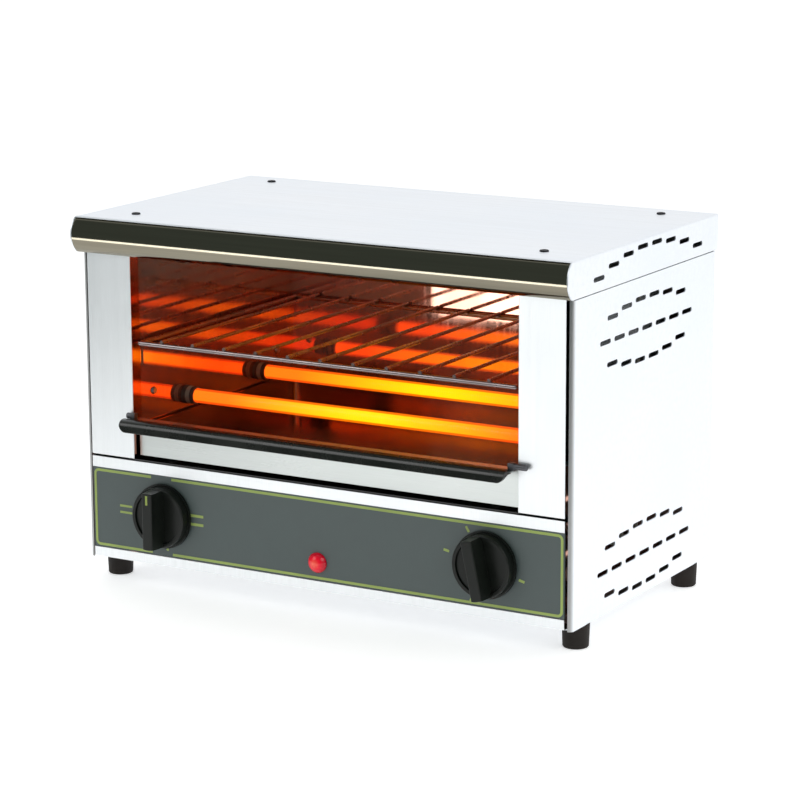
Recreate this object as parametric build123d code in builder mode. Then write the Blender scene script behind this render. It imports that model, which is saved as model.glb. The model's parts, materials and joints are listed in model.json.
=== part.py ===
from build123d import *
from math import cos, radians, sin, sqrt
import os

# Open-front infrared bar toaster: a sheet steel body, an open toasting cavity with four quartz
# tubes, a sliding wire rack, a sliding crumb tray and a control panel with two rotary controls.
# Millimetres. X to the viewer's right, Y to the back, Z up. The origin is on the surface the
# feet stand on, under the middle of the body.

# ---------------------------------------------------------------- driving dimensions
COVER_W = 450.0
BODY_W = 447.0
BODY_D = 250.0
HEIGHT = 305.0
FOOT_H = 19.5
SHEET = 1.0

OPENING_W = 354.0
COLUMN_FOOT_Z = 107.5
CAVITY_W = 356.0
CAVITY_FLOOR_Z = 107.0
CAVITY_TOP_Z = 281.0
RIB_H = 2.6

TUBE_R = 6.0
TUBE_YS = (-47.0, 62.0)
TUBE_LEVELS = {"lower": 146.3, "upper": 265.0}
TUBE_HALF = 196.0

RACK_WIRE_R = 2.0
RUNG_R = 1.5
RACK_Z = 203.0
RUNG_COUNT = 11
RUNG_PITCH = 30.0

SELECTOR_X = -148.5
TIMER_X = 150.0
KNOB_Z = 63.0
KNOB_H = 25.0
LAMP_X = -2.0
LAMP_Z = 43.6
SPINDLE_R = 3.0
RUNNING_GAP = 0.05

FOOT_X = 213.0
FOOT_Y = 97.5
GLAND_X = 150.0
GLAND_Z = 50.0
CABLE_HOLE_R = 4.1

# ---------------------------------------------------------------- derived planes
FRONT = -BODY_D / 2
BACK = BODY_D / 2
PANEL_OUT = BODY_W / 2
PANEL_IN = PANEL_OUT - SHEET
FRAME_LEFT = -218.8
FRAME_RIGHT = 216.9
FRAME_W = FRAME_RIGHT - FRAME_LEFT
FRAME_MID = (FRAME_LEFT + FRAME_RIGHT) / 2
BASE_TOP = FOOT_H + SHEET
PANEL_TOP = HEIGHT - SHEET - 0.4
CAVITY_HALF = CAVITY_W / 2
CAVITY_BACK_Y = BACK - 4.5
KNOB_XS = (SELECTOR_X, TIMER_X)

os.makedirs("parts", exist_ok=True)


def keep(builder, label):
    """Name a finished piece and write it as one STEP file."""
    builder.part.label = label
    export_step(builder.part, f"parts/{label}.step")


def arc_of_slots(count, pitch, middle_z, radius, bend):
    """Slot centres in a row along Y; bend +1 lifts the middle of the row, -1 drops it, 0 is straight."""
    points = []
    for i in range(count):
        y = (i - (count - 1) / 2) * pitch
        sag = radius - sqrt(radius**2 - y**2)
        points.append((y, middle_z - bend * sag))
    return points


# ---------------------------------------------------------------- outer shell
SLOT = (18.0, 3.8)
SKIRT_H = 29.3
SKIRT_Z = HEIGHT - SKIRT_H
LINE_GAP = 1.3
SIDE_TOP = SKIRT_Z - LINE_GAP
NOSE_R = 18.2
NOSE_EDGE = FRONT - 6.2
NOSE_CENTRE = (NOSE_EDGE + sqrt(NOSE_R**2 - (SKIRT_H / 2) ** 2), HEIGHT - SKIRT_H / 2)
COVER_BACK = BACK + 1.8
COVER_OPEN_Y = FRONT - 30

side_slots = arc_of_slots(6, 24.2, 258.1, 300, 1)
side_slots += arc_of_slots(7, 24.2, 234.0, 300, 0)
side_slots += arc_of_slots(6, 24.2, 209.6, 300, -1)
side_slots += arc_of_slots(6, 24.5, 78.5, 300, 1)
side_slots += arc_of_slots(7, 24.5, 53.2, 300, 0)
side_slots += arc_of_slots(6, 24.5, 28.0, 300, -1)
cover_slots = arc_of_slots(8, 25.0, 299.1, 285, 1)

# Side panel: one sheet with its front edge rolled round to the front face. Its top stops under
# the cover's skirt, which leaves a thin open line.
EDGE_R = 3.8
with BuildPart() as side_panel_right:
    with BuildSketch(Plane.XY.offset(FOOT_H)):
        with BuildLine():
            roll = (PANEL_OUT - EDGE_R, FRONT + EDGE_R)
            CenterArc(roll, EDGE_R, -90, 90)
            CenterArc(roll, EDGE_R - SHEET, -90, 90)
            Line((roll[0], FRONT), (roll[0], FRONT + SHEET))
            Polyline((PANEL_OUT, roll[1]), (PANEL_OUT, BACK), (PANEL_IN, BACK), (PANEL_IN, roll[1]))
        make_face()
    extrude(amount=SIDE_TOP - FOOT_H)
    with BuildSketch(Plane.YZ.offset(PANEL_IN - 1)):
        with Locations(*side_slots):
            SlotOverall(*SLOT)
    extrude(amount=3, mode=Mode.SUBTRACT)
keep(side_panel_right, "side_panel_right")

with BuildPart() as side_panel_left:
    mirror(side_panel_right.part, about=Plane.YZ)
keep(side_panel_left, "side_panel_left")

# Base plate, with a fixing hole over each foot and two rows of vent slots.
FEET = [(x, y) for x in (-FOOT_X, FOOT_X) for y in (-FOOT_Y, FOOT_Y)]
BASE_FRONT = FRONT + EDGE_R
with BuildPart() as base_plate:
    with BuildSketch(Plane.XY.offset(FOOT_H)):
        with Locations((0, (BASE_FRONT + BACK - SHEET) / 2)):
            Rectangle(2 * PANEL_IN, BACK - SHEET - BASE_FRONT)
        with Locations(*FEET):
            Circle(2.2, mode=Mode.SUBTRACT)
        with GridLocations(40, 90, 7, 2):
            SlotOverall(24, 4, mode=Mode.SUBTRACT)
    extrude(amount=SHEET)
keep(base_plate, "base_plate")

# Back panel, with the cable gland's hole, vent slots low down and six screw holes.
BACK_SCREWS = [(x, z) for x in (-200, 0, 200) for z in (32, 264)]
with BuildPart() as back_panel:
    with BuildSketch(Plane.XZ.offset(-BACK)):
        with Locations((0, (FOOT_H + PANEL_TOP) / 2)):
            Rectangle(2 * PANEL_IN, PANEL_TOP - FOOT_H)
        with Locations((GLAND_X, GLAND_Z)):
            Circle(8.1, mode=Mode.SUBTRACT)
        with Locations(*BACK_SCREWS):
            Circle(2.1, mode=Mode.SUBTRACT)
        with Locations((-40, 62)):
            with GridLocations(24, 13, 7, 3):
                SlotOverall(*SLOT, mode=Mode.SUBTRACT)
    extrude(amount=SHEET)
keep(back_panel, "back_panel")

# Cover: a top sheet with side skirts and a back skirt, open at the front for the nose.
COVER_SCREW_X = 186.0
COVER_SCREW_Y = 101.5
COVER_SCREWS = [(x, y) for x in (-COVER_SCREW_X, COVER_SCREW_X) for y in (-COVER_SCREW_Y, COVER_SCREW_Y)]
with BuildPart() as top_cover:
    with BuildSketch(Plane.YZ.offset(-COVER_W / 2)):
        with BuildLine():
            foremost = (NOSE_CENTRE[0] - NOSE_R, NOSE_CENTRE[1])
            ThreePointArc((NOSE_EDGE, SKIRT_Z), foremost, (NOSE_EDGE, HEIGHT))
            Polyline((NOSE_EDGE, HEIGHT), (COVER_BACK, HEIGHT), (COVER_BACK, SKIRT_Z), (NOSE_EDGE, SKIRT_Z))
        make_face()
    extrude(amount=COVER_W)
    long_edges = top_cover.edges().filter_by(Axis.Y).group_by(Axis.Z)[-1]
    fillet(long_edges + top_cover.edges().filter_by(Axis.X).group_by(Axis.Y)[-1].group_by(Axis.Z)[-1], 1.6)
    with BuildSketch(Plane.XY.offset(SKIRT_Z - 1)):
        with Locations((0, (COVER_BACK - SHEET + COVER_OPEN_Y) / 2)):
            Rectangle(COVER_W - 2 * SHEET, COVER_BACK - SHEET - COVER_OPEN_Y)
    extrude(amount=SKIRT_H - SHEET + 1, mode=Mode.SUBTRACT)
    with BuildSketch(Plane.XY.offset(HEIGHT - 5)):
        with Locations(*COVER_SCREWS):
            Circle(2.2)
    extrude(amount=10, mode=Mode.SUBTRACT)
    with BuildSketch(Plane.YZ.offset(-COVER_W / 2 - 1)):
        with Locations(*cover_slots):
            SlotOverall(*SLOT)
    extrude(amount=COVER_W + 2, mode=Mode.SUBTRACT)
keep(top_cover, "top_cover")

# Nose: a polished strip rolled to an arc, with a flange under the cover and one under itself.
with BuildPart() as cover_nose:
    with BuildSketch(Plane.YZ.offset(-COVER_W / 2 + SHEET + 0.1)):
        with BuildLine():
            inner_r = NOSE_R - SHEET
            low = (NOSE_EDGE + 0.2, SKIRT_Z)
            top = (NOSE_EDGE + 0.4, HEIGHT - SHEET - 0.1)
            inner_top = (NOSE_EDGE + 1.6, top[1] - SHEET)
            inner_low = (NOSE_EDGE + 1.6, SKIRT_Z + SHEET)
            flange_y = FRONT - 0.4
            ThreePointArc(low, foremost, top)
            Polyline(top, (flange_y, top[1]), (flange_y, inner_top[1]), inner_top)
            ThreePointArc(inner_top, (NOSE_CENTRE[0] - inner_r, NOSE_CENTRE[1]), inner_low)
            Polyline(inner_low, (flange_y, inner_low[1]), (flange_y, SKIRT_Z), low)
        make_face()
    extrude(amount=COVER_W - 2 * SHEET - 0.2)
keep(cover_nose, "cover_nose")

# Cover screws: low domed heads with a cross recess.
with BuildPart() as cover_screws:
    for x, y in COVER_SCREWS:
        with BuildSketch(Plane.XY.offset(HEIGHT - 9)):
            with Locations((x, y)):
                Circle(1.9)
        extrude(amount=9)
        with BuildSketch(Plane.XY.offset(HEIGHT)):
            with Locations((x, y)):
                Circle(3.6)
        extrude(amount=1.2)
    fillet(cover_screws.edges().filter_by(GeomType.CIRCLE).group_by(Axis.Z)[-1], 0.8)
    with BuildSketch(Plane.XY.offset(HEIGHT + 0.4)):
        with Locations(*COVER_SCREWS):
            Rectangle(3.6, 0.8)
            Rectangle(0.8, 3.6)
    extrude(amount=2, mode=Mode.SUBTRACT)
keep(cover_screws, "cover_screws")

# ---------------------------------------------------------------- front frame
OPENING_HALF = OPENING_W / 2
RAIL_TOP = 105.5
RAIL_FOOT = 96.5
PANEL_Z0 = 28.8
PANEL_Z1 = 96.1
COLUMN_TOP = 302.0


def front_column(outer_x):
    """Front face out to outer_x, with a return along the opening's edge."""
    side = 1 if outer_x > 0 else -1
    inner_x = side * OPENING_HALF
    with BuildPart() as column:
        with BuildSketch(Plane.XY.offset(COLUMN_FOOT_Z)):
            with BuildLine():
                Polyline(
                    (inner_x, FRONT),
                    (outer_x, FRONT),
                    (outer_x, FRONT + SHEET),
                    (inner_x + side * SHEET, FRONT + SHEET),
                    (inner_x + side * SHEET, FRONT + 12),
                    (inner_x, FRONT + 12),
                    close=True,
                )
            make_face()
        extrude(amount=COLUMN_TOP - COLUMN_FOOT_Z)
        front_edges = column.edges().filter_by(Axis.Z).group_by(Axis.Y)[0]
        fillet(front_edges.sort_by(lambda edge: abs(edge.center().X))[0], 0.7)
    return column


keep(front_column(FRAME_RIGHT), "front_column_right")
keep(front_column(FRAME_LEFT), "front_column_left")

# Lintel over the opening, hidden behind the nose.
with BuildPart() as front_lintel:
    with BuildSketch(Plane.YZ.offset(-OPENING_HALF + 0.1)):
        with BuildLine():
            Polyline(
                (FRONT, 277),
                (FRONT + 12, 277),
                (FRONT + 12, 277 + SHEET),
                (FRONT + SHEET, 277 + SHEET),
                (FRONT + SHEET, COLUMN_TOP),
                (FRONT, COLUMN_TOP),
                close=True,
            )
        make_face()
    extrude(amount=OPENING_W - 0.2)
keep(front_lintel, "front_lintel")


def front_rail(z_low, z_high, flange_low):
    """A front strip with one flange turned back from its lower or upper edge."""
    flange_z = z_low if flange_low else z_high - SHEET
    with BuildPart() as rail:
        with BuildSketch(Plane.YZ.offset(FRAME_LEFT)):
            with Locations((FRONT + SHEET / 2, (z_low + z_high) / 2)):
                Rectangle(SHEET, z_high - z_low)
            with Locations((FRONT + 7, flange_z + SHEET / 2)):
                Rectangle(14, SHEET)
        extrude(amount=FRAME_W)
    return rail


front_rail_upper = front_rail(RAIL_FOOT, RAIL_TOP, False)
keep(front_rail_upper, "front_rail_upper")
front_rail_lower = front_rail(BASE_TOP, 28.3, True)
keep(front_rail_lower, "front_rail_lower")

# Control panel, set 0.3 mm back from the rails.
LAMP_R = 8.2
CONTROL_SCREW_X = 14.0
CONTROL_SCREWS = [(x + dx, KNOB_Z) for x in KNOB_XS for dx in (-CONTROL_SCREW_X, CONTROL_SCREW_X)]
PANEL_FACE = FRONT + 0.3
PANEL_REAR = PANEL_FACE + 1.5
with BuildPart() as control_panel:
    with BuildSketch(Plane.XZ.offset(-PANEL_REAR)):
        with Locations((FRAME_MID, (PANEL_Z0 + PANEL_Z1) / 2)):
            Rectangle(FRAME_W, PANEL_Z1 - PANEL_Z0)
        with Locations(*[(x, KNOB_Z) for x in KNOB_XS]):
            Circle(5.5, mode=Mode.SUBTRACT)
        with Locations(*CONTROL_SCREWS):
            Circle(2.1, mode=Mode.SUBTRACT)
        with Locations((LAMP_X, LAMP_Z)):
            Circle(6.3, mode=Mode.SUBTRACT)
    extrude(amount=1.5)
keep(control_panel, "control_panel")

# Graphics: a raised outline with the control marks, as thin as a printed film.
OUTLINE_W = 2.1
OUTLINE_MARGIN = 1.1
OUTLINE_SIZE = (FRAME_W - 2 * OUTLINE_MARGIN, PANEL_Z1 - PANEL_Z0 - 2 * OUTLINE_MARGIN)
OUTLINE_R = 4.5
OUTLINE_BREAK = (20.0, 80.0)
TIMER_MARKS = ((-32.0, 31.5), (-78.0, 36.0), (105.0, 31.5), (205.0, 31.5))
LEFT_MARK_X = SELECTOR_X - 38
RIGHT_MARK_X = SELECTOR_X + 31.5
with BuildPart() as panel_graphics:
    with BuildSketch(Plane.XZ.offset(-PANEL_FACE)):
        with Locations((FRAME_MID, (PANEL_Z0 + PANEL_Z1) / 2)):
            RectangleRounded(*OUTLINE_SIZE, OUTLINE_R)
            RectangleRounded(
                OUTLINE_SIZE[0] - 2 * OUTLINE_W, OUTLINE_SIZE[1] - 2 * OUTLINE_W,
                OUTLINE_R - OUTLINE_W, mode=Mode.SUBTRACT,
            )
        with Locations((SELECTOR_X - 2.5, (PANEL_Z0 + PANEL_Z1) / 2)):
            Rectangle(*OUTLINE_BREAK, mode=Mode.SUBTRACT)
        with Locations((RIGHT_MARK_X, KNOB_Z + 3.6), (RIGHT_MARK_X, KNOB_Z - 3.6)):
            Rectangle(13, 2.2)
        with Locations((LEFT_MARK_X, KNOB_Z + 3.2), (LEFT_MARK_X, KNOB_Z - 2.2)):
            Rectangle(12, 1.8)
        for angle, mark_r in TIMER_MARKS:
            tick_x = TIMER_X + mark_r * sin(radians(angle))
            tick_z = KNOB_Z - 1 + mark_r * cos(radians(angle))
            with Locations(Location((tick_x, tick_z), -angle)):
                Rectangle(2.0, 5.0)
        with Locations((SELECTOR_X + 2.5, KNOB_Z - 28.2)):
            Circle(1.2)
    extrude(amount=0.15)
keep(panel_graphics, "panel_graphics")

# ---------------------------------------------------------------- toasting cavity
TUBE_POINTS = [(y, z) for z in TUBE_LEVELS.values() for y in TUBE_YS]
LEAD_HOLES = [(-20.0, 62.0), (6.0, 62.0)]
WALL_SCREWS = [(y, 158.5) for y in (-94.0, 94.0)]
WALL_Y0 = FRONT + 1.2

# Cavity side wall: runs from the base plate to the cover, with a flange at each end.
with BuildPart() as cavity_wall_right:
    with BuildSketch(Plane.XZ.offset(-WALL_Y0)):
        with BuildLine():
            Polyline(
                (CAVITY_HALF, BASE_TOP),
                (CAVITY_HALF + 22, BASE_TOP),
                (CAVITY_HALF + 22, BASE_TOP + SHEET),
                (CAVITY_HALF + SHEET, BASE_TOP + SHEET),
                (CAVITY_HALF + SHEET, HEIGHT - 2 * SHEET),
                (CAVITY_HALF + 22, HEIGHT - 2 * SHEET),
                (CAVITY_HALF + 22, HEIGHT - SHEET),
                (CAVITY_HALF, HEIGHT - SHEET),
                close=True,
            )
        make_face()
    extrude(amount=-(CAVITY_BACK_Y - WALL_Y0))
    with BuildSketch(Plane.YZ.offset(CAVITY_HALF - 1)):
        with Locations(*TUBE_POINTS):
            Circle(7.9)
        with Locations(*LEAD_HOLES):
            Circle(5)
        with Locations(*WALL_SCREWS):
            Circle(2.1)
    extrude(amount=3, mode=Mode.SUBTRACT)
    with BuildSketch(Plane.YZ.offset(CAVITY_HALF - 1)):
        with Locations((FRONT, CAVITY_FLOOR_Z - SHEET - 45)):
            Rectangle(36, 90)
    extrude(amount=26, mode=Mode.SUBTRACT)
    with BuildSketch(Plane.XY.offset(HEIGHT - 5)):
        with Locations(*[(x, y) for x, y in COVER_SCREWS if x > 0]):
            Circle(1.95)
    extrude(amount=5, mode=Mode.SUBTRACT)
keep(cavity_wall_right, "cavity_wall_right")

with BuildPart() as cavity_wall_left:
    mirror(cavity_wall_right.part, about=Plane.YZ)
keep(cavity_wall_left, "cavity_wall_left")

# Cavity floor, with two raised ribs that carry the crumb tray.
with BuildPart() as cavity_floor:
    with BuildSketch(Plane.XY.offset(CAVITY_FLOOR_Z - SHEET)):
        with Locations((0, (WALL_Y0 + CAVITY_BACK_Y) / 2)):
            Rectangle(CAVITY_W, CAVITY_BACK_Y - WALL_Y0)
    extrude(amount=SHEET)
    with BuildSketch(Plane.XY.offset(CAVITY_FLOOR_Z)):
        with Locations((-150, 0), (150, 0)):
            SlotOverall(226, 14, rotation=90)
    extrude(amount=RIB_H)
keep(cavity_floor, "cavity_floor")

with BuildPart() as cavity_ceiling:
    with BuildSketch(Plane.XY.offset(CAVITY_TOP_Z)):
        with Locations((0, (FRONT + 12.5 + CAVITY_BACK_Y) / 2)):
            Rectangle(CAVITY_W, CAVITY_BACK_Y - FRONT - 12.5)
    extrude(amount=SHEET)
keep(cavity_ceiling, "cavity_ceiling")

with BuildPart() as cavity_back:
    with BuildSketch(Plane.XZ.offset(-CAVITY_BACK_Y)):
        with Locations((0, (CAVITY_FLOOR_Z - SHEET + CAVITY_TOP_Z + SHEET) / 2)):
            Rectangle(CAVITY_W + 2 * SHEET, CAVITY_TOP_Z - CAVITY_FLOOR_Z + 2 * SHEET)
    extrude(amount=-SHEET)
keep(cavity_back, "cavity_back")

# Rack rails: angle sections welded to the side walls, 0.3 mm under the rack's side wires.
RAIL_SHELF_Z = RACK_Z - RACK_WIRE_R - 0.3
with BuildPart() as rack_rail_right:
    with BuildSketch(Plane.XZ.offset(-(FRONT + 16))):
        with BuildLine():
            Polyline(
                (CAVITY_HALF, RAIL_SHELF_Z),
                (CAVITY_HALF - 11, RAIL_SHELF_Z),
                (CAVITY_HALF - 11, RAIL_SHELF_Z - 1.2),
                (CAVITY_HALF - 1.2, RAIL_SHELF_Z - 1.2),
                (CAVITY_HALF - 1.2, RAIL_SHELF_Z - 18),
                (CAVITY_HALF, RAIL_SHELF_Z - 18),
                close=True,
            )
        make_face()
    extrude(amount=-(CAVITY_BACK_Y - FRONT - 20))
keep(rack_rail_right, "rack_rail_right")

with BuildPart() as rack_rail_left:
    mirror(rack_rail_right.part, about=Plane.YZ)
keep(rack_rail_left, "rack_rail_left")

# Wall screws: round heads inside the cavity, one near each end of each wall.
with BuildPart() as cavity_wall_screws:
    for side in (-1, 1):
        head_x = side * CAVITY_HALF
        with BuildSketch(Plane.YZ.offset(head_x)):
            with Locations(*WALL_SCREWS):
                Circle(1.9)
        extrude(amount=side * 6)
        with BuildSketch(Plane.YZ.offset(head_x)):
            with Locations(*WALL_SCREWS):
                Circle(3.2)
        extrude(amount=-side * 1.6, taper=25)
keep(cavity_wall_screws, "cavity_wall_screws")

# ---------------------------------------------------------------- quartz tube heaters
CAP_R = 7.4
CAP_IN = 167.0
CAP_OUT = 200.0
RETAINER_X = CAP_OUT
STRIP_X = 203.5


def quartz_tube(y, z):
    """Clear tube with its bore open for the coil."""
    with BuildPart() as tube:
        with BuildSketch(Plane.YZ.offset(-TUBE_HALF)):
            with Locations((y, z)):
                Circle(TUBE_R)
                Circle(TUBE_R - 1.2, mode=Mode.SUBTRACT)
        extrude(amount=2 * TUBE_HALF)
    return tube


def heating_coil(y, z):
    """The outer shape of the wound resistance wire, as a thin sleeve inside the tube."""
    with BuildPart() as coil:
        with BuildSketch(Plane.YZ.offset(-TUBE_HALF + 4)):
            with Locations((y, z)):
                Circle(4.2)
                Circle(3.2, mode=Mode.SUBTRACT)
        extrude(amount=2 * (TUBE_HALF - 4))
    return coil


for level, tube_z in TUBE_LEVELS.items():
    for place, tube_y in zip(("front", "rear"), TUBE_YS):
        keep(quartz_tube(tube_y, tube_z), f"quartz_tube_{level}_{place}")
        keep(heating_coil(tube_y, tube_z), f"heating_coil_{level}_{place}")


def tube_caps(level_z):
    """Four ceramic end caps, each with a collar that bears on the outside of the wall."""
    with BuildPart() as caps:
        for side in (-1, 1):
            with BuildSketch(Plane.YZ.offset(side * CAP_IN)):
                with Locations(*[(y, level_z) for y in TUBE_YS]):
                    Circle(CAP_R)
            extrude(amount=side * (CAP_OUT - CAP_IN))
            with BuildSketch(Plane.YZ.offset(side * (CAVITY_HALF + SHEET))):
                with Locations(*[(y, level_z) for y in TUBE_YS]):
                    Circle(10)
            extrude(amount=side * 3)
            with BuildSketch(Plane.YZ.offset(side * CAP_IN)):
                with Locations(*[(y, level_z) for y in TUBE_YS]):
                    Circle(TUBE_R + RUNNING_GAP)
            extrude(amount=side * (TUBE_HALF + 0.1 - CAP_IN), mode=Mode.SUBTRACT)
    return caps


for level, tube_z in TUBE_LEVELS.items():
    keep(tube_caps(tube_z), f"ceramic_caps_{level}")

# Terminal studs out of the caps' closed ends.
with BuildPart() as terminal_studs:
    for side in (-1, 1):
        with BuildSketch(Plane.YZ.offset(side * CAP_OUT)):
            with Locations(*TUBE_POINTS):
                Circle(2)
        extrude(amount=side * 8)
keep(terminal_studs, "terminal_studs")

# Tube retainer: a folded strip outside the wall that holds the caps in.
with BuildPart() as tube_retainer_right:
    with BuildSketch(Plane.XZ.offset(-TUBE_YS[0] + 12)):
        with BuildLine():
            wall_x = CAVITY_HALF + SHEET
            z_low, z_high = TUBE_LEVELS["lower"] - 16, TUBE_LEVELS["upper"] + 16
            Polyline(
                (wall_x, z_low),
                (RETAINER_X + SHEET, z_low),
                (RETAINER_X + SHEET, z_high),
                (wall_x, z_high),
                (wall_x, z_high - SHEET),
                (RETAINER_X, z_high - SHEET),
                (RETAINER_X, z_low + SHEET),
                (wall_x, z_low + SHEET),
                close=True,
            )
        make_face()
    extrude(amount=-(TUBE_YS[1] - TUBE_YS[0] + 24))
    with BuildSketch(Plane.YZ.offset(RETAINER_X - 1)):
        with Locations(*TUBE_POINTS):
            Circle(3.2)
    extrude(amount=3, mode=Mode.SUBTRACT)
keep(tube_retainer_right, "tube_retainer_right")

with BuildPart() as tube_retainer_left:
    mirror(tube_retainer_right.part, about=Plane.YZ)
keep(tube_retainer_left, "tube_retainer_left")

# Link strips: each joins the front and rear tube of one level on one side.
with BuildPart() as link_strips:
    for side in (-1, 1):
        with BuildSketch(Plane.YZ.offset(side * STRIP_X)):
            with Locations(*[(sum(TUBE_YS) / 2, z) for z in TUBE_LEVELS.values()]):
                SlotOverall(TUBE_YS[1] - TUBE_YS[0] + 10, 9)
            with Locations(*TUBE_POINTS):
                Circle(2.05, mode=Mode.SUBTRACT)
        extrude(amount=side * 0.8)
keep(link_strips, "link_strips")

# ---------------------------------------------------------------- wire rack
RACK_HALF = 172.0
RACK_Y0 = FRONT + 5.0
RACK_Y1 = CAVITY_BACK_Y - 4.0
RUNG_Z = RACK_Z + RACK_WIRE_R + RUNG_R - 0.4
with BuildPart() as wire_rack:
    for y in (RACK_Y0, RACK_Y1):
        with BuildSketch(Plane.YZ.offset(-RACK_HALF)):
            with Locations((y, RACK_Z)):
                Circle(RACK_WIRE_R)
        extrude(amount=2 * RACK_HALF)
    with BuildSketch(Plane.XZ.offset(-RACK_Y0)):
        with Locations((-RACK_HALF, RACK_Z), (RACK_HALF, RACK_Z)):
            Circle(RACK_WIRE_R)
    extrude(amount=-(RACK_Y1 - RACK_Y0))
    with Locations(*[(x, y, RACK_Z) for x in (-RACK_HALF, RACK_HALF) for y in (RACK_Y0, RACK_Y1)]):
        Sphere(RACK_WIRE_R)
    with BuildSketch(Plane.XZ.offset(-(RACK_Y0 - 1.6))):
        with Locations((0, RUNG_Z)):
            with GridLocations(RUNG_PITCH, 1, RUNG_COUNT, 1):
                Circle(RUNG_R)
    extrude(amount=-(RACK_Y1 - RACK_Y0 + 3.2))
keep(wire_rack, "wire_rack")

# ---------------------------------------------------------------- crumb tray
TRAY_HALF = 175.0
TRAY_FACE = FRONT + 6.0
TRAY_BACK = CAVITY_BACK_Y - 4.0
TRAY_Z0 = CAVITY_FLOOR_Z + RIB_H + 0.1
TRAY_WALL_TOP = 134.0
LIP_Z = 140.5
LIP_FRONT = FRONT - 7.5
HANDLE_FRONT = FRONT - 15.0
HANDLE_LEFT = -181.5
HANDLE_RIGHT = 172.5
HANDLE_TOP = LIP_Z + 1.5
HANDLE_FOOT = 132.2
HANDLE_R = 7.0

# Tray: a shallow pan whose taller front turns forward into a lip.
with BuildPart() as crumb_tray:
    with BuildSketch(Plane.XY.offset(TRAY_Z0)):
        with Locations((0, (TRAY_FACE + TRAY_BACK) / 2)):
            Rectangle(2 * TRAY_HALF, TRAY_BACK - TRAY_FACE)
    extrude(amount=TRAY_WALL_TOP - TRAY_Z0)
    fillet(crumb_tray.edges().filter_by(Axis.Z).group_by(Axis.Y)[-1], 8)
    with BuildSketch(Plane.YZ.offset(-TRAY_HALF)):
        with BuildLine():
            Polyline(
                (TRAY_FACE, TRAY_Z0),
                (TRAY_FACE, LIP_Z - SHEET),
                (LIP_FRONT, LIP_Z - SHEET),
                (LIP_FRONT, LIP_Z),
                (TRAY_FACE + SHEET, LIP_Z),
                (TRAY_FACE + SHEET, TRAY_Z0),
                close=True,
            )
        make_face()
    extrude(amount=2 * TRAY_HALF)
    with BuildSketch(Plane.XY.offset(TRAY_Z0 + SHEET)):
        with Locations((0, (TRAY_FACE + TRAY_BACK) / 2)):
            RectangleRounded(2 * (TRAY_HALF - SHEET), TRAY_BACK - TRAY_FACE - 2 * SHEET, 7)
    extrude(amount=TRAY_WALL_TOP - TRAY_Z0, mode=Mode.SUBTRACT)
keep(crumb_tray, "crumb_tray")

# Handle: a glossy black strip gripping the lip, curved down at the front, with rounded ends.
with BuildPart() as tray_handle:
    with BuildSketch(Plane.YZ.offset(HANDLE_LEFT)):
        with BuildLine():
            nose_top = (FRONT - 8.5, HANDLE_TOP)
            brow = JernArc(nose_top, (-1, 0), 6.2, 75)
            Polyline(
                brow @ 1,
                (HANDLE_FRONT, HANDLE_FOOT + 0.6),
                (HANDLE_FRONT + 0.6, HANDLE_FOOT),
                (FRONT - 12.4, HANDLE_FOOT),
                (FRONT - 10.4, 136.4),
                (FRONT - 7.6, 138.0),
                (FRONT - 2.0, 138.0),
                (FRONT - 2.0, LIP_Z - SHEET),
                (LIP_FRONT - 0.1, LIP_Z - SHEET),
                (LIP_FRONT - 0.1, LIP_Z),
                (FRONT - 6.2, LIP_Z),
                (FRONT - 6.2, HANDLE_TOP),
                nose_top,
            )
        make_face()
    extrude(amount=HANDLE_RIGHT - HANDLE_LEFT)
    with BuildSketch(Plane.XZ.offset(-FRONT)):
        with BuildLine():
            left_bend = (HANDLE_LEFT + HANDLE_R, HANDLE_FOOT + HANDLE_R)
            right_bend = (HANDLE_RIGHT - HANDLE_R, HANDLE_FOOT + HANDLE_R)
            Polyline(
                (HANDLE_LEFT, left_bend[1]),
                (HANDLE_LEFT, HANDLE_TOP),
                (HANDLE_RIGHT, HANDLE_TOP),
                (HANDLE_RIGHT, right_bend[1]),
            )
            CenterArc(left_bend, HANDLE_R, 180, 90)
            CenterArc(right_bend, HANDLE_R, 270, 90)
            Line((left_bend[0], HANDLE_FOOT), (right_bend[0], HANDLE_FOOT))
        make_face()
    extrude(amount=20, mode=Mode.INTERSECT)
keep(tray_handle, "tray_handle")

# Stop pins: a block at each end of the lip, with a pin that meets the column when the tray is home.
PIN_Y = FRONT - 3.2
PIN_R = 2.5
BLOCK_TALL = 6.2
PIN_SPANS = ((-1, 172.0, 176.5, 180.5), (1, 171.0, 176.0, 186.5))
with BuildPart() as tray_stop_pins:
    for side, block_in, block_out, pin_end in PIN_SPANS:
        with BuildSketch(Plane.YZ.offset(side * block_in)):
            with Locations((PIN_Y, LIP_Z + BLOCK_TALL / 2)):
                RectangleRounded(2 * PIN_R, BLOCK_TALL, 1)
        extrude(amount=side * (block_out - block_in))
        with BuildSketch(Plane.YZ.offset(side * block_out)):
            with Locations((PIN_Y, LIP_Z + 3.4)):
                Circle(PIN_R)
        extrude(amount=side * (pin_end - block_out))
    pin_circles = tray_stop_pins.edges().filter_by(GeomType.CIRCLE).group_by(Axis.X)
    fillet(pin_circles[0] + pin_circles[-1], 0.8)
keep(tray_stop_pins, "tray_stop_pins")

# ---------------------------------------------------------------- controls
KNOB_BASE_R = 26.8
KNOB_FACE_R = 25.0
KNOB_REAR = FRONT - 0.8
KNOB_FACE = FRONT - KNOB_H
DISC_FACE = FRONT - 10.2
DISH_R = 21.8
DISH_DEPTH = 1.6
GRIP_W = 10.4
TIMER_LEAN = 12.0
SPINDLE_REAR = FRONT + 22.0


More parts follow.
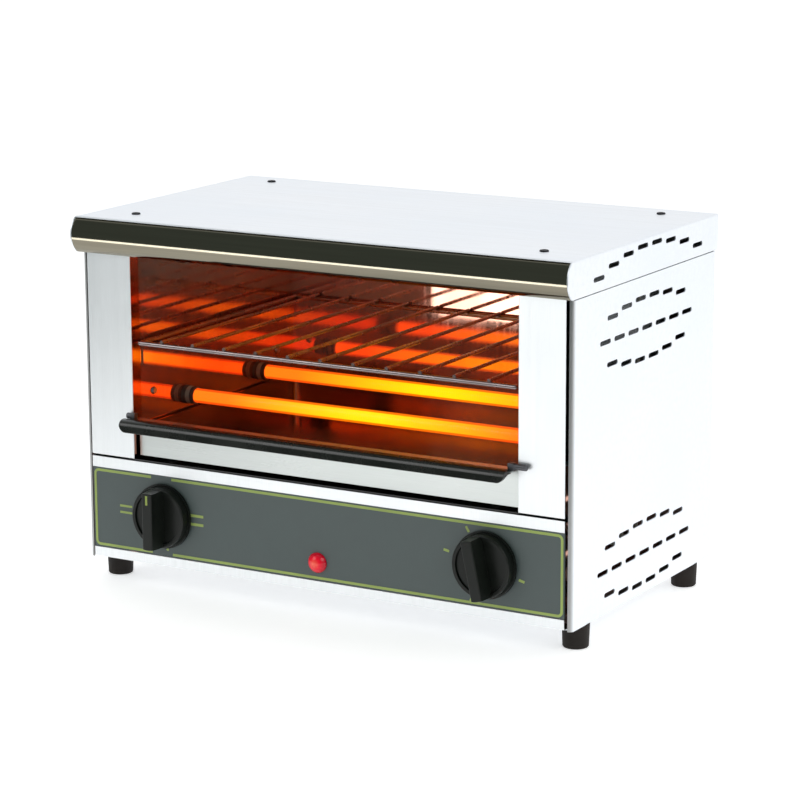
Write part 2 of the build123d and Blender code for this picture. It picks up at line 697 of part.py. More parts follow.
def knob(x, turn):
    """Round knob: thin skirt, dished disc, a tall grip bar across it, and a spindle hole.

    turn is how far the grip bar leans anticlockwise from upright, in degrees."""
    dish_floor = DISC_FACE + DISH_DEPTH
    with BuildPart() as body:
        with BuildSketch(Plane.XZ.offset(-KNOB_REAR)):
            with Locations((x, KNOB_Z)):
                Circle(KNOB_BASE_R)
        extrude(amount=2.2)
        with BuildSketch(Plane.XZ.offset(-KNOB_REAR + 2.2)):
            with Locations((x, KNOB_Z)):
                Circle(KNOB_FACE_R + 0.3)
        extrude(amount=KNOB_REAR - 2.2 - DISC_FACE, taper=2)
        fillet(body.edges().filter_by(GeomType.CIRCLE).group_by(Axis.Y)[0], 1.2)
        with BuildSketch(Plane.XZ.offset(-DISC_FACE)):
            with Locations((x, KNOB_Z)):
                Circle(DISH_R)
        extrude(amount=-DISH_DEPTH, mode=Mode.SUBTRACT, taper=20)
        with BuildSketch(Plane.XZ.offset(-dish_floor)):
            with Locations(Location((x, KNOB_Z), turn)):
                Circle(KNOB_FACE_R - 0.7)
                Rectangle(GRIP_W, 2 * KNOB_FACE_R, mode=Mode.INTERSECT)
        extrude(amount=dish_floor - KNOB_FACE, taper=2)
        fillet(body.faces().sort_by(Axis.Y)[0].edges(), 1.0)
        with BuildSketch(Plane.XZ.offset(-KNOB_REAR - 1)):
            with Locations((x, KNOB_Z)):
                Circle(SPINDLE_R)
        extrude(amount=9, mode=Mode.SUBTRACT)
    return body


def spindle(x):
    """Control shaft that turns with its knob."""
    with BuildPart() as shaft:
        with BuildSketch(Plane.XZ.offset(-SPINDLE_REAR)):
            with Locations((x, KNOB_Z)):
                Circle(SPINDLE_R)
        extrude(amount=SPINDLE_REAR - KNOB_REAR + 7.9)
    return shaft


def control_body(x, width, depth):
    """Housing behind the panel with a running bore for the spindle and a threaded boss each side."""
    with BuildPart() as housing:
        with BuildSketch(Plane.XZ.offset(-PANEL_REAR)):
            with Locations((x, KNOB_Z)):
                Rectangle(width, width)
        extrude(amount=-depth)
        fillet(housing.edges().filter_by(Axis.Y), 4)
        chamfer(housing.faces().sort_by(Axis.Y)[-1].edges(), 1.5)
        with BuildSketch(Plane.XZ.offset(-PANEL_REAR + 1)):
            with Locations((x, KNOB_Z)):
                Circle(SPINDLE_R + RUNNING_GAP)
            with Locations((x - CONTROL_SCREW_X, KNOB_Z), (x + CONTROL_SCREW_X, KNOB_Z)):
                Circle(1.6)
        extrude(amount=-(SPINDLE_REAR - PANEL_REAR + 2), mode=Mode.SUBTRACT)
    return housing


SWITCH_DEPTH = 38.0
TIMER_DEPTH = 44.0
keep(knob(SELECTOR_X, 0), "selector_knob")
keep(spindle(SELECTOR_X), "selector_spindle")
keep(control_body(SELECTOR_X, 42, SWITCH_DEPTH), "selector_switch_body")
keep(knob(TIMER_X, TIMER_LEAN), "timer_knob")
keep(spindle(TIMER_X), "timer_spindle")
keep(control_body(TIMER_X, 50, TIMER_DEPTH), "timer_body")

# Fixing screws behind the knobs.
with BuildPart() as control_screws:
    with BuildSketch(Plane.XZ.offset(-PANEL_FACE)):
        with Locations(*CONTROL_SCREWS):
            Circle(1.6)
    extrude(amount=-8)
    with BuildSketch(Plane.XZ.offset(-PANEL_FACE)):
        with Locations(*CONTROL_SCREWS):
            Circle(2.6)
    extrude(amount=0.7)
keep(control_screws, "control_screws")

# Pilot lamp: domed lens in front, neon housing behind.
DOME_H = 5.0
DOME_R = (LAMP_R**2 + DOME_H**2) / (2 * DOME_H)
LENS_RIM = 1.2
LENS_REAR = PANEL_FACE - 0.1
with BuildPart() as pilot_lamp_lens:
    with Locations((LAMP_X, LENS_REAR - LENS_RIM - DOME_H + DOME_R, LAMP_Z)):
        Sphere(DOME_R)
    with BuildSketch(Plane.XZ.offset(-(LENS_REAR - LENS_RIM))):
        with Locations((LAMP_X, LAMP_Z)):
            Circle(LAMP_R)
    extrude(amount=DOME_H + 1, mode=Mode.INTERSECT)
    with BuildSketch(Plane.XZ.offset(-LENS_REAR)):
        with Locations((LAMP_X, LAMP_Z)):
            Circle(LAMP_R)
    extrude(amount=LENS_RIM)
keep(pilot_lamp_lens, "pilot_lamp_lens")

with BuildPart() as pilot_lamp_body:
    with BuildSketch(Plane.XZ.offset(-PANEL_FACE)):
        with Locations((LAMP_X, LAMP_Z)):
            Circle(6.2)
    extrude(amount=-24)
    with BuildSketch(Plane.XZ.offset(-PANEL_REAR)):
        with Locations((LAMP_X, LAMP_Z)):
            RegularPolygon(8.5, 6)
    extrude(amount=-4)
keep(pilot_lamp_body, "pilot_lamp_body")

# ---------------------------------------------------------------- mains entry and wiring
BLOCK = (44.0, 18.0, 16.0)
BLOCK_XY = (150.0, 84.0)
with BuildPart() as terminal_block:
    with BuildSketch(Plane.XY.offset(BASE_TOP)):
        with Locations(BLOCK_XY):
            Rectangle(BLOCK[0], BLOCK[1])
    extrude(amount=BLOCK[2])
    chamfer(terminal_block.edges().filter_by(Axis.X).group_by(Axis.Z)[-1], 3)
    with BuildSketch(Plane.XY.offset(BASE_TOP + BLOCK[2])):
        with Locations(BLOCK_XY):
            with GridLocations(14, 1, 3, 1):
                Circle(2.6)
    extrude(amount=-5, mode=Mode.SUBTRACT)
keep(terminal_block, "terminal_block")

GLAND_FLANGE_R = 11.5
GLAND_LEN = 25.0
with BuildPart() as cable_gland:
    with BuildSketch(Plane.XZ.offset(-(BACK + GLAND_LEN))):
        with Locations((GLAND_X, GLAND_Z)):
            Circle(8.5)
    extrude(amount=GLAND_LEN - 6, taper=-4)
    with BuildSketch(Plane.XZ.offset(-BACK)):
        with Locations((GLAND_X, GLAND_Z)):
            RegularPolygon(GLAND_FLANGE_R, 6)
    extrude(amount=-6)
    with BuildSketch(Plane.XZ.offset(-(BACK - 8))):
        with Locations((GLAND_X, GLAND_Z)):
            Circle(8)
    extrude(amount=-8)
    with BuildSketch(Plane.XZ.offset(-(BACK - 9))):
        with Locations((GLAND_X, GLAND_Z)):
            Circle(CABLE_HOLE_R)
    extrude(amount=-(GLAND_LEN + 10), mode=Mode.SUBTRACT)
keep(cable_gland, "cable_gland")

with BuildPart() as gland_nut:
    with BuildSketch(Plane.XZ.offset(-(BACK - SHEET))):
        with Locations((GLAND_X, GLAND_Z)):
            RegularPolygon(11, 6)
            Circle(8.05, mode=Mode.SUBTRACT)
    extrude(amount=4)
keep(gland_nut, "gland_nut")


def lead(points, bend):
    """One insulated wire: straight runs joined by tangent arcs."""
    with BuildLine(mode=Mode.PRIVATE) as route:
        FilletPolyline(*points, radius=bend)
    with BuildSketch(Plane(origin=route.line @ 0, z_dir=route.line % 0), mode=Mode.PRIVATE) as section:
        Circle(1.4)
    return sweep(section.sketch, path=route.line, mode=Mode.PRIVATE)


SWITCH_BACK = PANEL_REAR + SWITCH_DEPTH
TIMER_BACK = PANEL_REAR + TIMER_DEPTH
LEAD_X = 213.0
with BuildPart() as heater_leads:
    for side, control_back in ((-1, SWITCH_BACK), (1, TIMER_BACK)):
        for (hole_y, hole_z), tube_z, end_x in zip(LEAD_HOLES, TUBE_LEVELS.values(), (152.0, 140.0)):
            add(
                lead(
                    [
                        (side * (STRIP_X + 0.8), hole_y, tube_z),
                        (side * LEAD_X, hole_y, tube_z),
                        (side * LEAD_X, hole_y, hole_z),
                        (side * end_x, hole_y, hole_z),
                        (side * end_x, control_back, hole_z),
                    ],
                    5,
                )
            )
keep(heater_leads, "heater_leads")

with BuildPart() as control_leads:
    block_front = BLOCK_XY[1] - BLOCK[1] / 2
    for offset, z in ((-14, 28.0), (14, 32.0)):
        add(
            lead(
                [
                    (BLOCK_XY[0] + offset, block_front, z),
                    (BLOCK_XY[0] + offset, block_front - 40, z),
                    (BLOCK_XY[0] + offset * 0.5, TIMER_BACK + 12, 46 + offset / 7),
                    (BLOCK_XY[0] + offset * 0.5, TIMER_BACK, 46 + offset / 7),
                ],
                5,
            )
        )
    lamp_rear = PANEL_FACE + 24
    for side, reach in ((-1, SWITCH_BACK + 8), (1, TIMER_BACK + 6)):
        add(
            lead(
                [
                    (LAMP_X + side * 3, lamp_rear, LAMP_Z),
                    (LAMP_X + side * 3, reach, LAMP_Z),
                    (side * 132, reach, 50 - side),
                    (side * 132, reach - (8 if side < 0 else 6), 50 - side),
                ],
                2.8,
            )
        )
keep(control_leads, "control_leads")

# ---------------------------------------------------------------- feet and fasteners
FOOT_R = 11.0


def rubber_foot(x, y):
    """Tapered rubber foot with a recess for its screw."""
    with BuildPart() as foot:
        with BuildSketch(Plane.XY):
            with Locations((x, y)):
                Circle(FOOT_R - 0.8)
        extrude(amount=FOOT_H, taper=-2.3)
        fillet(foot.edges().filter_by(GeomType.CIRCLE).group_by(Axis.Z)[0], 1.6)
        with BuildSketch(Plane.XY):
            with Locations((x, y)):
                Circle(5)
        extrude(amount=9, mode=Mode.SUBTRACT)
        with BuildSketch(Plane.XY):
            with Locations((x, y)):
                Circle(2.2)
        extrude(amount=FOOT_H, mode=Mode.SUBTRACT)
    return foot


for side_name, x in (("left", -FOOT_X), ("right", FOOT_X)):
    for end_name, y in (("front", -FOOT_Y), ("rear", FOOT_Y)):
        keep(rubber_foot(x, y), f"foot_{end_name}_{side_name}")

with BuildPart() as foot_screws:
    with BuildSketch(Plane.XY.offset(5.4)):
        with Locations(*FEET):
            Circle(4)
    extrude(amount=3.6)
    with BuildSketch(Plane.XY.offset(9)):
        with Locations(*FEET):
            Circle(2)
    extrude(amount=BASE_TOP + 5 - 9)
keep(foot_screws, "foot_screws")

with BuildPart() as back_panel_screws:
    with BuildSketch(Plane.XZ.offset(-BACK)):
        with Locations(*BACK_SCREWS):
            Circle(3.4)
    extrude(amount=-1.6, taper=20)
    with BuildSketch(Plane.XZ.offset(-BACK)):
        with Locations(*BACK_SCREWS):
            Circle(1.9)
    extrude(amount=3)
keep(back_panel_screws, "back_panel_screws")
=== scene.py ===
import json
from math import cos, pi, radians, sin

import bpy
from mathutils import Matrix, Vector


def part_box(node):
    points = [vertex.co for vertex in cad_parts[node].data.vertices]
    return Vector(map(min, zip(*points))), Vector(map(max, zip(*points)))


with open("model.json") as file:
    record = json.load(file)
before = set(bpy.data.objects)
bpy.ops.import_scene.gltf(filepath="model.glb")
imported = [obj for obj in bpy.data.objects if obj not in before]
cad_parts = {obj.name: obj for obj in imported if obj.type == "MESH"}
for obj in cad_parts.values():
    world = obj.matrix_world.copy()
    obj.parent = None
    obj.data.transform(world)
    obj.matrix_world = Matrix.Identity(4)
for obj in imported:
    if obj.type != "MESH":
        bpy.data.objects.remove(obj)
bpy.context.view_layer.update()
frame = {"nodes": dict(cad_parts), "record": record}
slot_of = {part["node"]: part["material_slot"] for part in frame["record"]["subparts"]}


# ---------------------------------------------------------------- camera
CAMERA_AZIMUTH = 30.32
CAMERA_ELEVATION = 12.57
CAMERA_ROLL = -0.28
CAMERA_DISTANCE = 2.4351
CAMERA_AIM = Vector((0.0006, 0.0009, 0.1511))
CAMERA_LENS = 133.9
CAMERA_SENSOR = 36.0
CAMERA_REACH = 60.0


def view_direction(azimuth, elevation):
    """Unit vector from the object towards a place at that azimuth and elevation, in degrees."""
    a, e = radians(azimuth), radians(elevation)
    return Vector((sin(a) * cos(e), -cos(a) * cos(e), sin(e)))


def add_camera():
    camera = bpy.data.objects.new("camera", bpy.data.cameras.new("camera"))
    bpy.context.collection.objects.link(camera)
    back = view_direction(CAMERA_AZIMUTH, CAMERA_ELEVATION)
    camera.location = CAMERA_AIM + back * CAMERA_DISTANCE
    level = (-back).to_track_quat("-Z", "Y").to_matrix()
    camera.rotation_euler = (level @ Matrix.Rotation(radians(CAMERA_ROLL), 3, "Z")).to_euler()
    camera.data.lens = CAMERA_LENS
    camera.data.sensor_width = CAMERA_SENSOR
    camera.data.clip_end = CAMERA_REACH
    bpy.context.scene.camera = camera


add_camera()
bpy.context.scene.view_settings.view_transform = "Standard"


# ---------------------------------------------------------------- colours
SATIN_STEEL = (0.87, 0.90, 0.94)
SATIN_TINT = (0.97, 0.985, 1.0)
# Painted shade on the rolled front edge of the side panels.
ROLLED_EDGE_SHADE = (0.42, 0.42, 0.42)
NOSE_STEEL = (0.235, 0.215, 0.165)
FRONT_STEEL = (0.90, 0.92, 0.935)
FRONT_TINT = (0.985, 0.99, 1.0)
PLATED_STEEL = (0.62, 0.64, 0.66)
PLATED_TINT = (0.96, 0.98, 1.0)
CAVITY_STEEL = (0.70, 0.36, 0.26)
CAVITY_STAIN = (0.46, 0.20, 0.14)
CAVITY_TOP = (0.44, 0.42, 0.39)
# Black painted as shade in the gaps behind the front sheet and on the cavity floor's front edge.
GAP_SHADE_BLACK = (0.010, 0.010, 0.010)
TRAY_STEEL = (0.60, 0.625, 0.615)
TRAY_TINT = (0.97, 0.99, 0.98)
TRAY_STAIN = (0.42, 0.23, 0.17)
TRAY_DARK_STAIN = (0.24, 0.13, 0.10)
RACK_WIRE = (0.36, 0.30, 0.30)
PIN_STEEL = (0.14, 0.14, 0.15)
SPINDLE_STEEL = (0.6, 0.6, 0.6)
NICKEL = (0.66, 0.62, 0.56)
SCREW_STEEL = (0.35, 0.35, 0.36)
SCREW_BLACK = (0.035, 0.035, 0.04)
HANDLE_BLACK = (0.007, 0.008, 0.006)
KNOB_BLACK = (0.006, 0.008, 0.006)
KNOB_POINTER = (0.30, 0.38, 0.08)
PANEL_GREY = (0.070, 0.092, 0.090)
LIME_PRINT = (0.36, 0.46, 0.12)
PLASTIC_BLACK = (0.02, 0.02, 0.02)
RUBBER_BLACK = (0.014, 0.010, 0.008)
SLEEVE_CREAM = (0.7, 0.67, 0.58)
CAP_BROWN = (0.07, 0.05, 0.04)
CAP_RING_GREY = (0.34, 0.32, 0.26)
LENS_RED = (0.30, 0.002, 0.008)
LAMP_CORE = (1.0, 0.22, 0.13)
LAMP_RED = (0.80, 0.008, 0.03)
LAMP_RIM = (0.16, 0.0, 0.01)
LAMP_FACET = (0.45, 0.0, 0.01)
WIRE_BASE = (0.5, 0.3, 0.15)
COIL_HOT = (1.0, 0.76, 0.0)
COIL_WARM = (1.0, 0.17, 0.004)
QUARTZ_BASE = (0.4, 0.12, 0.03)
QUARTZ_HOT = (1.0, 0.22, 0.0)
QUARTZ_WARM = (1.0, 0.085, 0.004)
FLOOR_PALE = (0.90, 0.90, 0.90)
FLOOR_PALE_LOW = (0.89, 0.89, 0.89)
FLOOR_PALE_HIGH = (0.91, 0.91, 0.91)
DARK_ROOM = (0.125, 0.150, 0.142)
WHITE = (1.0, 1.0, 1.0)


def shade(colour, factor):
    return tuple(min(1.0, c * factor) for c in colour)


# ---------------------------------------------------------------- material helpers
class Finish:
    """A node material with short calls for the few node kinds used here."""

    def __init__(self, name, colour, roughness, metallic=0.0, **sockets):
        self.material = bpy.data.materials.new(name)
        self.material.use_nodes = True
        self.tree = self.material.node_tree
        self.shader = self.tree.nodes["Principled BSDF"]
        self.set("Base Color", (*colour, 1.0))
        self.set("Roughness", roughness)
        self.set("Metallic", metallic)
        for socket, value in sockets.items():
            self.set(socket.replace("_", " "), value)
        self.place = self.node("ShaderNodeTexCoord").outputs["Object"]

    def node(self, kind, **settings):
        made = self.tree.nodes.new(kind)
        for key, value in settings.items():
            setattr(made, key, value)
        return made

    def set(self, socket, value):
        self.shader.inputs[socket].default_value = value

    def link(self, output, target):
        """Links an output to an input, or to the shader's socket of that name."""
        if isinstance(target, str):
            target = self.shader.inputs[target]
        self.tree.links.new(output, target)

    def driving(self, socket):
        """The output that is linked to a socket of the shader now."""
        return self.shader.inputs[socket].links[0].from_socket

    def noise(self, scale, detail=3.0, stretch=(1.0, 1.0, 1.0)):
        """Noise on object coordinates; stretch below 1 draws the pattern out along that axis."""
        mapping = self.node("ShaderNodeMapping")
        mapping.inputs["Scale"].default_value = stretch
        self.link(self.place, mapping.inputs["Vector"])
        texture = self.node("ShaderNodeTexNoise")
        texture.inputs["Scale"].default_value = scale
        texture.inputs["Detail"].default_value = detail
        self.link(mapping.outputs["Vector"], texture.inputs["Vector"])
        return texture.outputs["Fac"]

    def remap(self, value, source, target=(0.0, 1.0)):
        """Maps the source range to the target range, with clamping."""
        node = self.node("ShaderNodeMapRange")
        for socket, number in zip(("From Min", "From Max", "To Min", "To Max"), (*source, *target)):
            node.inputs[socket].default_value = number
        self.link(value, node.inputs["Value"])
        return node.outputs["Result"]

    def mix(self, factor, colour_a, colour_b):
        """Colour mix; each side is a colour or an output, and so is the factor."""
        node = self.node("ShaderNodeMix", data_type="RGBA")
        for socket, colour in ((node.inputs[6], colour_a), (node.inputs[7], colour_b)):
            if isinstance(colour, tuple):
                socket.default_value = (*colour, 1.0)
            else:
                self.link(colour, socket)
        if isinstance(factor, float):
            node.inputs[0].default_value = factor
        else:
            self.link(factor, node.inputs[0])
        return node.outputs[2]

    def combine(self, operation, a, b=0.0):
        """One maths step; each side is a number or an output."""
        node = self.node("ShaderNodeMath", operation=operation)
        for socket, value in zip(node.inputs, (a, b)):
            if isinstance(value, (int, float)):
                socket.default_value = value
            else:
                self.link(value, socket)
        return node.outputs[0]

    def between(self, value, low, high):
        """1 where the value lies between two numbers, else 0."""
        above = self.combine("GREATER_THAN", value, low)
        below = self.combine("LESS_THAN", value, high)
        return self.combine("MULTIPLY", above, below)

    def bump(self, height, strength, distance):
        node = self.node("ShaderNodeBump")
        node.inputs["Strength"].default_value = strength
        node.inputs["Distance"].default_value = distance
        self.link(height, node.inputs["Height"])
        self.link(node.outputs["Normal"], "Normal")

    def axis(self, name):
        """The X, Y or Z of object coordinates, in metres."""
        split = self.node("ShaderNodeSeparateXYZ")
        self.link(self.place, split.inputs[0])
        return split.outputs[name]


# How far a noise pattern is drawn out along the axis that a sheet is brushed or rolled along.
GRAIN_ALONG = {"X": (0.02, 1.0, 1.0), "Y": (1.0, 0.02, 1.0), "Z": (1.0, 1.0, 0.02)}

# Noise scales. A larger number gives a finer pattern.
BRUSH_FINE = 2600.0
BRUSH_BROAD = 240.0
BRUSH_CLOUD = 9.0
ROLL_LINES = 420.0
ROLL_CLOUD = 14.0
ROLL_WAVES = 18.0
MOULD_CLOUD = 40.0
PLATING_CLOUD = 60.0
PLATING_GRAIN = 1800.0

# The part of the noise's 0 to 1 that holds most of its values.
MID_RANGE = (0.3, 0.7)
UPPER_RANGE = (0.35, 0.7)
NARROW_RANGE = (0.35, 0.65)

BRUSH_FINE_SHARE = 0.6
BRUSH_DEPTH = 0.00002
COAT_ROUGHNESS = 0.12


def brushed(name, colour, roughness, along, tint):
    """Brushed stainless sheet: fine and broad grain along one axis, and cloudy smears of a tint."""
    finish = Finish(name, colour, roughness, metallic=1.0)
    fine = finish.noise(BRUSH_FINE, detail=4.0, stretch=GRAIN_ALONG[along])
    broad = finish.noise(BRUSH_BROAD, stretch=GRAIN_ALONG[along])
    cloud = finish.noise(BRUSH_CLOUD)
    fine_part = finish.combine("MULTIPLY", fine, BRUSH_FINE_SHARE)
    broad_part = finish.combine("MULTIPLY", broad, 1.0 - BRUSH_FINE_SHARE)
    streak = finish.combine("ADD", fine_part, broad_part)
    grained = finish.mix(finish.remap(streak, NARROW_RANGE), shade(colour, 0.93), shade(colour, 1.04))
    tinted = tuple(c * t for c, t in zip(colour, tint))
    smears = finish.remap(cloud, UPPER_RANGE, target=(0.0, 0.6))
    finish.link(finish.mix(smears, grained, tinted), "Base Color")
    rougher = finish.combine(
        "ADD",
        finish.remap(streak, MID_RANGE, target=(-0.05, 0.06)),
        finish.remap(cloud, MID_RANGE, target=(-0.02, 0.04)),
    )
    finish.link(finish.combine("ADD", rougher, roughness), "Roughness")
    finish.bump(streak, strength=0.25, distance=BRUSH_DEPTH)
    return finish


def polished(name, colour, roughness, along, heat=None):
    """Rolled stainless, close to a mirror: faint roll lines, slow waves and, with heat, a stain."""
    finish = Finish(name, colour, roughness, metallic=1.0)
    lines = finish.noise(ROLL_LINES, stretch=GRAIN_ALONG[along])
    cloud = finish.noise(ROLL_CLOUD)
    base = finish.mix(finish.remap(lines, NARROW_RANGE), shade(colour, 0.94), shade(colour, 1.03))
    if heat:
        base = finish.mix(finish.remap(cloud, (0.35, 0.75), target=(0.0, 0.8)), base, heat)
    finish.link(base, "Base Color")
    rougher = finish.combine(
        "ADD",
        finish.remap(lines, MID_RANGE, target=(-0.02, 0.03)),
        finish.remap(cloud, MID_RANGE, target=(-0.015, 0.03)),
    )
    finish.link(finish.combine("ADD", rougher, roughness), "Roughness")
    finish.bump(finish.noise(ROLL_WAVES, detail=2.0), strength=0.10, distance=0.0003)
    return finish


def moulded(name, colour, roughness, grain=900.0, depth=0.00003, variation=0.2, coat=0.0, specular=0.5):
    """Moulded plastic, rubber or ceramic: fine surface grain, slight unevenness and handling marks."""
    finish = Finish(
        name,
        colour,
        roughness,
        Coat_Weight=coat,
        Coat_Roughness=COAT_ROUGHNESS,
        Specular_IOR_Level=specular,
    )
    cloud = finish.noise(MOULD_CLOUD, detail=4.0)
    fine = finish.noise(grain)
    darker, lighter = shade(colour, 1 - variation), shade(colour, 1 + variation)
    finish.link(finish.mix(finish.remap(cloud, MID_RANGE), darker, lighter), "Base Color")
    rougher = finish.combine(
        "ADD",
        finish.remap(cloud, MID_RANGE, target=(-0.06, 0.08)),
        finish.remap(fine, MID_RANGE, target=(roughness - 0.03, roughness + 0.03)),
    )
    finish.link(rougher, "Roughness")
    finish.bump(fine, strength=0.3, distance=depth)
    return finish


def plain_metal(name, colour, roughness):
    """Small plated parts: metal with slight tarnish."""
    finish = Finish(name, colour, roughness, metallic=1.0)
    cloud = finish.noise(PLATING_CLOUD)
    finish.link(finish.mix(finish.remap(cloud, UPPER_RANGE), colour, shade(colour, 0.85)), "Base Color")
    rougher = finish.remap(cloud, MID_RANGE, target=(roughness - 0.04, roughness + 0.06))
    finish.link(rougher, "Roughness")
    finish.bump(finish.noise(PLATING_GRAIN, detail=2.0), strength=0.1, distance=0.000004)
    return finish


# ---------------------------------------------------------------- pilot lamp, coils and tubes
LAMP_FACETS = 420.0
LAMP_CORE_SHARE = 0.05
LAMP_GLOW_SHARE = 0.55
LAMP_STRENGTH = 0.75

COIL_PITCH = 0.0022
COIL_STRENGTH = 2.5
QUARTZ_CLOUD = 60.0
QUARTZ_ALPHA = 0.4
QUARTZ_STRENGTH = 1.25
HOT_HALF = 0.015
WARM_HALF = 0.135


def lamp_finish():
    """Red lens over a lit neon: glossy, glowing in the middle, with a faceted inner pattern."""
    finish = Finish(
        "lamp_red",
        LENS_RED,
        0.18,
        Coat_Weight=0.2,
        Coat_Roughness=0.1,
        Specular_IOR_Level=0.3,
    )
    cells = finish.node("ShaderNodeTexVoronoi")
    cells.inputs["Scale"].default_value = LAMP_FACETS
    finish.link(finish.place, cells.inputs["Vector"])
    low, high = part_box("pilot_lamp_lens")
    offset_x = finish.combine("SUBTRACT", finish.axis("X"), (low[0] + high[0]) / 2)
    offset_z = finish.combine("SUBTRACT", finish.axis("Z"), (low[2] + high[2]) / 2)
    square_x = finish.combine("MULTIPLY", offset_x, offset_x)
    square_z = finish.combine("MULTIPLY", offset_z, offset_z)
    distance = finish.combine("SQRT", finish.combine("ADD", square_x, square_z))
    radius = (high[0] - low[0]) / 2
    core = LAMP_CORE_SHARE * radius
    glow_edge = LAMP_GLOW_SHARE * radius
    rim = finish.mix(finish.remap(distance, (glow_edge, radius)), LAMP_RED, LAMP_RIM)
    glow = finish.mix(finish.remap(distance, (core, glow_edge)), LAMP_CORE, rim)
    facets = finish.remap(cells.outputs["Distance"], (0.0, 0.7), target=(0.0, 0.35))
    finish.link(finish.mix(facets, glow, LAMP_FACET), "Emission Color")
    finish.set("Emission Strength", LAMP_STRENGTH)
    finish.bump(cells.outputs["Distance"], strength=0.1, distance=0.0002)
    return finish


def warmth(finish):
    """1 along the middle of a tube, falling to 0 near its ends."""
    distance = finish.combine("ABSOLUTE", finish.axis("X"))
    return finish.remap(distance, (HOT_HALF, WARM_HALF), target=(1.0, 0.0))


def coil_finish():
    """Wound wire at working heat: yellow in the middle, orange near the ends, its turns showing."""
    finish = Finish("glowing_wire", WIRE_BASE, 0.6)
    turns = finish.combine("SINE", finish.combine("MULTIPLY", finish.axis("X"), 2 * pi / COIL_PITCH))
    glow = finish.mix(warmth(finish), COIL_WARM, COIL_HOT)
    gaps = finish.mix(0.25, glow, COIL_WARM)
    finish.link(finish.mix(finish.remap(turns, (-1.0, 0.6)), gaps, glow), "Emission Color")
    finish.set("Emission Strength", COIL_STRENGTH)
    finish.bump(turns, strength=0.5, distance=0.0004)
    return finish


def quartz_finish():
    """Quartz tube: a clear skin with the wire's glow scattered in it."""
    finish = Finish("quartz", QUARTZ_BASE, 0.05, Alpha=QUARTZ_ALPHA, Specular_IOR_Level=0.25)
    cloud = finish.noise(QUARTZ_CLOUD)
    glow = finish.mix(warmth(finish), QUARTZ_WARM, QUARTZ_HOT)
    haze = finish.remap(cloud, MID_RANGE, target=(0.0, 0.35))
    finish.link(finish.mix(haze, glow, QUARTZ_WARM), "Emission Color")
    finish.set("Emission Strength", QUARTZ_STRENGTH)
    return finish


# ---------------------------------------------------------------- pieces with more than one look
# From the tray's front edge to the inside of its apron.
TRAY_FRONT_DEPTH = 0.0145
TRAY_BLOTCHES = 22.0
TRAY_BLEND_HALF = 0.0002
TRAY_SMOOTHER = -0.18

# The pointer mark: distances down from the top of the grip bar, and into its face.
POINTER_HALF_WIDTH = 0.0010
POINTER_FOOT = 0.0125
POINTER_TIP = 0.0048
POINTER_SKIN = 0.0004
FACE_MARGIN = 0.001

# Where the ring starts and ends, out from the middle of the tubes.
CAP_RING = (0.1705, 0.1745)

# How far past a piece's own edge a change of look lies.
SHEET_FACE = 0.0007
MARGIN = 0.0005
FOLD_SMOOTHER = -0.32

# Measured back from the side panels' front edge, and up from the ceiling.
ROLLED_EDGE = (0.0005, 0.0030)
CEILING_FADE = (-0.055, -0.025)
CEILING_PALER = 0.9
FLOOR_EDGE_DEPTH = 0.014
CAVITY_METALLIC = 0.86


def tray_finish():
    """Crumb tray: brushed apron and lip; all of it behind the apron, inside and out, is smoother
    and darkly stained by heat."""
    finish = brushed("tray_steel", TRAY_STEEL, 0.30, "X", TRAY_TINT)
    inner_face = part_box("crumb_tray")[0][1] + TRAY_FRONT_DEPTH
    blend = (inner_face - TRAY_BLEND_HALF, inner_face + TRAY_BLEND_HALF)
    behind = finish.remap(finish.axis("Y"), blend)
    blotches = finish.remap(finish.noise(TRAY_BLOTCHES, detail=4.0), UPPER_RANGE)
    stain = finish.mix(blotches, TRAY_STAIN, TRAY_DARK_STAIN)
    finish.link(finish.mix(behind, finish.driving("Base Color"), stain), "Base Color")
    smoother = finish.combine("MULTIPLY", behind, TRAY_SMOOTHER)
    finish.link(finish.combine("ADD", finish.driving("Roughness"), smoother), "Roughness")
    return finish


def knob_finish():
    """Semi-gloss black knob; a lime pointer mark at the top of the selector's grip bar."""
    finish = moulded("knob_black", KNOB_BLACK, 0.36, grain=1100.0, coat=0.05, specular=0.28)
    low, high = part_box("selector_knob")
    middle = (low[0] + high[0]) / 2
    across = finish.between(finish.axis("X"), middle - POINTER_HALF_WIDTH, middle + POINTER_HALF_WIDTH)
    along = finish.between(finish.axis("Z"), high[2] - POINTER_FOOT, high[2] - POINTER_TIP)
    face = finish.between(finish.axis("Y"), low[1] - FACE_MARGIN, low[1] + POINTER_SKIN)
    mark = finish.combine("MULTIPLY", finish.combine("MULTIPLY", across, along), face)
    finish.link(finish.mix(mark, finish.driving("Base Color"), KNOB_POINTER), "Base Color")
    return finish


def cap_finish():
    """Steatite end cap darkened by heat, with a paler ring round it."""
    finish = moulded("ceramic_white", CAP_BROWN, 0.6)
    ring = finish.between(finish.combine("ABSOLUTE", finish.axis("X")), *CAP_RING)
    finish.link(finish.mix(ring, finish.driving("Base Color"), CAP_RING_GREY), "Base Color")
    return finish


